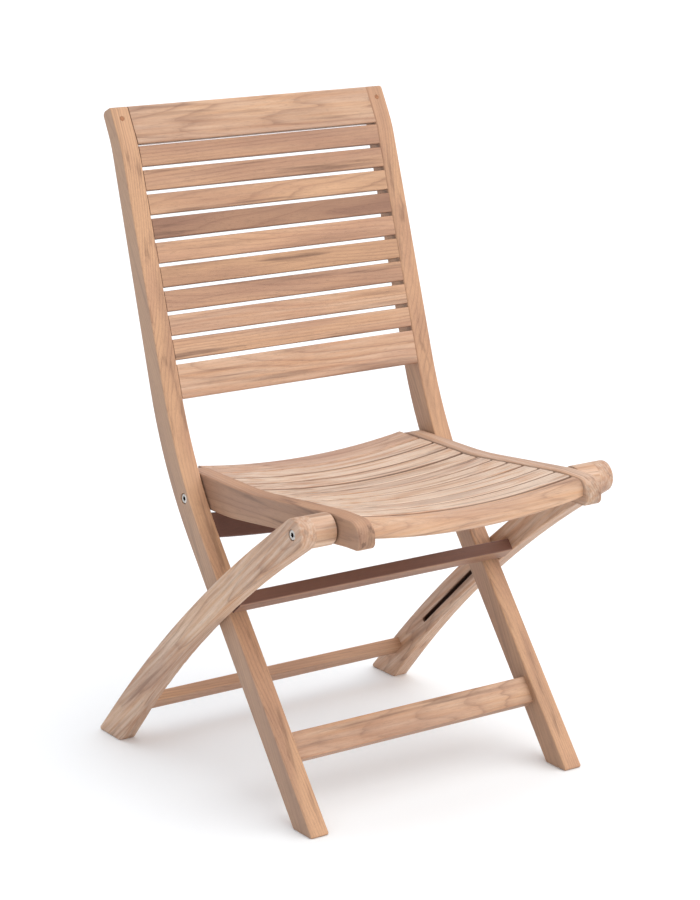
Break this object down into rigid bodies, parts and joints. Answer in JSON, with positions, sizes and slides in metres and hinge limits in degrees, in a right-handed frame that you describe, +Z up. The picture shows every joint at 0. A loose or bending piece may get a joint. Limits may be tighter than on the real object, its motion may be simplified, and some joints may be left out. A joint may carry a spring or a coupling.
{
  "type": "folding chair",
  "caption": "Slatted wooden folding chair with swept stiles, a dished slat seat and bowed rear legs that swing on pivot bolts so the chair folds flat.",
  "frame": {"origin": "on the floor, under the middle of the open chair's outline", "axes": "+Z up, -Y the way the sitter faces, +X across the chair to the sitter's left"},
  "size_m": [0.5, 0.5696, 0.8875],
  "materials": {
    "teak_honey": "bare, sanded, satin",
    "teak_tan": "bare, sanded, satin",
    "teak_pink": "bare, sanded, satin",
    "teak_pale": "bare, sanded, satin",
    "teak_brown": "bare, sanded, satin",
    "stainless_steel": "machined, dull",
    "brass": "machined"
  },
  "bodies": {
    "back_frame": {"left_stile": "teak_honey", "right_stile": "teak_honey", "top_rail": "teak_tan", "back_slat_1": "teak_honey", "back_slat_2": "teak_pink", "back_slat_3": "teak_tan", "back_slat_4": "teak_honey", "back_slat_5": "teak_pink", "back_slat_6": "teak_tan", "back_slat_7": "teak_honey", "back_slat_8": "teak_pink", "back_slat_9": "teak_tan", "lower_back_rail": "teak_tan", "stop_rail": "teak_brown", "front_stretcher": "teak_honey", "stile_plugs": "teak_tan", "slot_pins": "stainless_steel", "rear_pivot_washers": "stainless_steel"},
    "seat": {"left_seat_rail": "teak_brown", "right_seat_rail": "teak_brown", "rear_seat_slat": "teak_tan", "seat_slat_1": "teak_honey", "seat_slat_2": "teak_pale", "seat_slat_3": "teak_pink", "seat_slat_4": "teak_honey", "seat_slat_5": "teak_pale", "seat_slat_6": "teak_pink", "seat_slat_7": "teak_honey", "seat_slat_8": "teak_pale", "seat_slat_9": "teak_pink", "seat_slat_10": "teak_honey", "nose_slat": "teak_honey", "rear_pivot_bolts": "stainless_steel", "rear_pivot_inserts": "brass", "front_pivot_bolts": "stainless_steel", "front_pivot_inserts": "brass"},
    "rear_legs": {"left_rear_leg": "teak_tan", "right_rear_leg": "teak_tan", "left_leg_barrel": "teak_tan", "right_leg_barrel": "teak_tan", "upper_stretcher": "teak_brown", "foot_stretcher": "teak_tan", "front_pivot_washers": "stainless_steel"}
  },
  "joints": [
    {"name": "seat_hinge", "type": "hinge", "parent": "back_frame", "child": "seat", "pos_m": [0, 0.0859, 0.384], "axis": [-1, 0, 0], "range_deg": [0, 93]},
    {"name": "rear_leg_hinge", "type": "hinge", "parent": "seat", "child": "rear_legs", "pos_m": [0, -0.2191, 0.412], "axis": [1, 0, 0], "range_deg": [0, 24.56]}
  ],
  "couplings": [
    {"joint": "rear_leg_hinge", "follows": "seat_hinge", "ratio": 0.26409}
  ]
}
